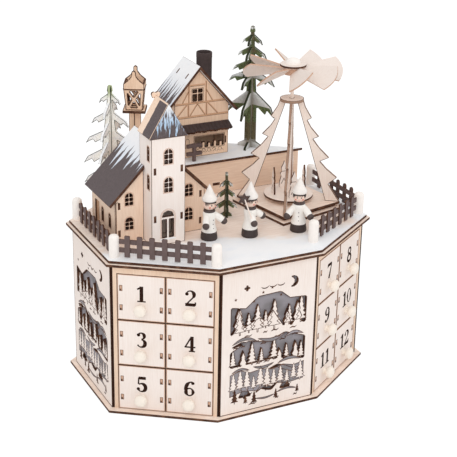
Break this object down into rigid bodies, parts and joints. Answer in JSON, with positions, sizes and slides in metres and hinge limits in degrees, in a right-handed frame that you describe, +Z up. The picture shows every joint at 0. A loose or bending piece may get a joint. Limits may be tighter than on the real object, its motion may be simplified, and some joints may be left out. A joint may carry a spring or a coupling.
{
  "type": "wooden advent calendar",
  "caption": "Octagonal wooden advent calendar with small drawers and pierced forest panels, topped by a snowy village with a church, house, trees, singers and a turning vaned pyramid.",
  "frame": {"origin": "middle of the underside of the base plate", "axes": "+Z up, -Y the front with its pierced panel, +X to the right when seen from the front"},
  "size_m": [0.335, 0.27, 0.386],
  "materials": {
    "pale_ply": "bare pale birch plywood, lightly sealed",
    "birch_ply": "bare birch plywood, laser-burnt edges",
    "burnt_ply": "dark brown stain, matt",
    "snow_paint": "white printed snow, matt",
    "slate_paint": "printed dark slates with white snow, matt",
    "cream_paint": "cream paint, satin",
    "green_paint": "printed green branches with snow, matt"
  },
  "bodies": {
    "calendar": {"base_plate": "birch_ply", "deck_board": "birch_ply", "snow_board": "snow_paint", "panel_front": "pale_ply", "panel_right": "pale_ply", "panel_back": "pale_ply", "panel_left": "pale_ply", "cabinet_front_left": "pale_ply", "cabinet_front_right": "pale_ply", "cabinet_back_right": "pale_ply", "cabinet_back_left": "pale_ply", "fence_left": "burnt_ply", "fence_front_left": "burnt_ply", "fence_front_right": "burnt_ply", "fence_right": "burnt_ply", "terrace_walls": "birch_ply", "terrace_top": "snow_paint", "church_walls": "birch_ply", "church_roof": "slate_paint", "tower_walls": "pale_ply", "tower_roof": "slate_paint", "house_walls": "birch_ply", "house_roof": "snow_paint", "chimney": "burnt_ply", "stall_roof": "burnt_ply", "lantern": "birch_ply", "tree_tall": "green_paint", "tree_pale": "cream_paint", "tree_small": "green_paint", "pyramid_base": "birch_ply", "pyramid_frame": "pale_ply", "singer_left": "cream_paint", "singer_middle": "cream_paint", "singer_right": "cream_paint"},
    "drawer_01": {"drawer_01": "pale_ply"},
    "drawer_02": {"drawer_02": "pale_ply"},
    "drawer_03": {"drawer_03": "pale_ply"},
    "drawer_04": {"drawer_04": "pale_ply"},
    "drawer_05": {"drawer_05": "pale_ply"},
    "drawer_06": {"drawer_06": "pale_ply"},
    "drawer_07": {"drawer_07": "pale_ply"},
    "drawer_08": {"drawer_08": "pale_ply"},
    "drawer_09": {"drawer_09": "pale_ply"},
    "drawer_10": {"drawer_10": "pale_ply"},
    "drawer_11": {"drawer_11": "pale_ply"},
    "drawer_12": {"drawer_12": "pale_ply"},
    "drawer_13": {"drawer_13": "pale_ply"},
    "drawer_14": {"drawer_14": "pale_ply"},
    "drawer_15": {"drawer_15": "pale_ply"},
    "drawer_16": {"drawer_16": "pale_ply"},
    "drawer_17": {"drawer_17": "pale_ply"},
    "drawer_18": {"drawer_18": "pale_ply"},
    "drawer_19": {"drawer_19": "pale_ply"},
    "drawer_20": {"drawer_20": "pale_ply"},
    "drawer_21": {"drawer_21": "pale_ply"},
    "drawer_22": {"drawer_22": "pale_ply"},
    "drawer_23": {"drawer_23": "pale_ply"},
    "drawer_24": {"drawer_24": "pale_ply"},
    "rotor": {"vane_wheel": "cream_paint", "carousel": "pale_ply"}
  },
  "joints": [
    {"name": "drawer_01_slide", "type": "slide", "parent": "calendar", "child": "drawer_01", "axis": [-0.5648, -0.8252, 0], "range_m": [0, 0.052]},
    {"name": "drawer_02_slide", "type": "slide", "parent": "calendar", "child": "drawer_02", "axis": [-0.5648, -0.8252, 0], "range_m": [0, 0.052]},
    {"name": "drawer_03_slide", "type": "slide", "parent": "calendar", "child": "drawer_03", "axis": [-0.5648, -0.8252, 0], "range_m": [0, 0.052]},
    {"name": "drawer_04_slide", "type": "slide", "parent": "calendar", "child": "drawer_04", "axis": [-0.5648, -0.8252, 0], "range_m": [0, 0.052]},
    {"name": "drawer_05_slide", "type": "slide", "parent": "calendar", "child": "drawer_05", "axis": [-0.5648, -0.8252, 0], "range_m": [0, 0.052]},
    {"name": "drawer_06_slide", "type": "slide", "parent": "calendar", "child": "drawer_06", "axis": [-0.5648, -0.8252, 0], "range_m": [0, 0.052]},
    {"name": "drawer_07_slide", "type": "slide", "parent": "calendar", "child": "drawer_07", "axis": [0.5648, -0.8252, 0], "range_m": [0, 0.052]},
    {"name": "drawer_08_slide", "type": "slide", "parent": "calendar", "child": "drawer_08", "axis": [0.5648, -0.8252, 0], "range_m": [0, 0.052]},
    {"name": "drawer_09_slide", "type": "slide", "parent": "calendar", "child": "drawer_09", "axis": [0.5648, -0.8252, 0], "range_m": [0, 0.052]},
    {"name": "drawer_10_slide", "type": "slide", "parent": "calendar", "child": "drawer_10", "axis": [0.5648, -0.8252, 0], "range_m": [0, 0.052]},
    {"name": "drawer_11_slide", "type": "slide", "parent": "calendar", "child": "drawer_11", "axis": [0.5648, -0.8252, 0], "range_m": [0, 0.052]},
    {"name": "drawer_12_slide", "type": "slide", "parent": "calendar", "child": "drawer_12", "axis": [0.5648, -0.8252, 0], "range_m": [0, 0.052]},
    {"name": "drawer_13_slide", "type": "slide", "parent": "calendar", "child": "drawer_13", "axis": [0.5648, 0.8252, 0], "range_m": [0, 0.052]},
    {"name": "drawer_14_slide", "type": "slide", "parent": "calendar", "child": "drawer_14", "axis": [0.5648, 0.8252, 0], "range_m": [0, 0.052]},
    {"name": "drawer_15_slide", "type": "slide", "parent": "calendar", "child": "drawer_15", "axis": [0.5648, 0.8252, 0], "range_m": [0, 0.052]},
    {"name": "drawer_16_slide", "type": "slide", "parent": "calendar", "child": "drawer_16", "axis": [0.5648, 0.8252, 0], "range_m": [0, 0.052]},
    {"name": "drawer_17_slide", "type": "slide", "parent": "calendar", "child": "drawer_17", "axis": [0.5648, 0.8252, 0], "range_m": [0, 0.052]},
    {"name": "drawer_18_slide", "type": "slide", "parent": "calendar", "child": "drawer_18", "axis": [0.5648, 0.8252, 0], "range_m": [0, 0.052]},
    {"name": "drawer_19_slide", "type": "slide", "parent": "calendar", "child": "drawer_19", "axis": [-0.5648, 0.8252, 0], "range_m": [0, 0.052]},
    {"name": "drawer_20_slide", "type": "slide", "parent": "calendar", "child": "drawer_20", "axis": [-0.5648, 0.8252, 0], "range_m": [0, 0.052]},
    {"name": "drawer_21_slide", "type": "slide", "parent": "calendar", "child": "drawer_21", "axis": [-0.5648, 0.8252, 0], "range_m": [0, 0.052]},
    {"name": "drawer_22_slide", "type": "slide", "parent": "calendar", "child": "drawer_22", "axis": [-0.5648, 0.8252, 0], "range_m": [0, 0.052]},
    {"name": "drawer_23_slide", "type": "slide", "parent": "calendar", "child": "drawer_23", "axis": [-0.5648, 0.8252, 0], "range_m": [0, 0.052]},
    {"name": "drawer_24_slide", "type": "slide", "parent": "calendar", "child": "drawer_24", "axis": [-0.5648, 0.8252, 0], "range_m": [0, 0.052]},
    {"name": "rotor_spin", "type": "hinge", "parent": "calendar", "child": "rotor", "pos_m": [0.0925, 0.002, 0.1975], "axis": [0, 0, 1], "continuous": true}
  ]
}
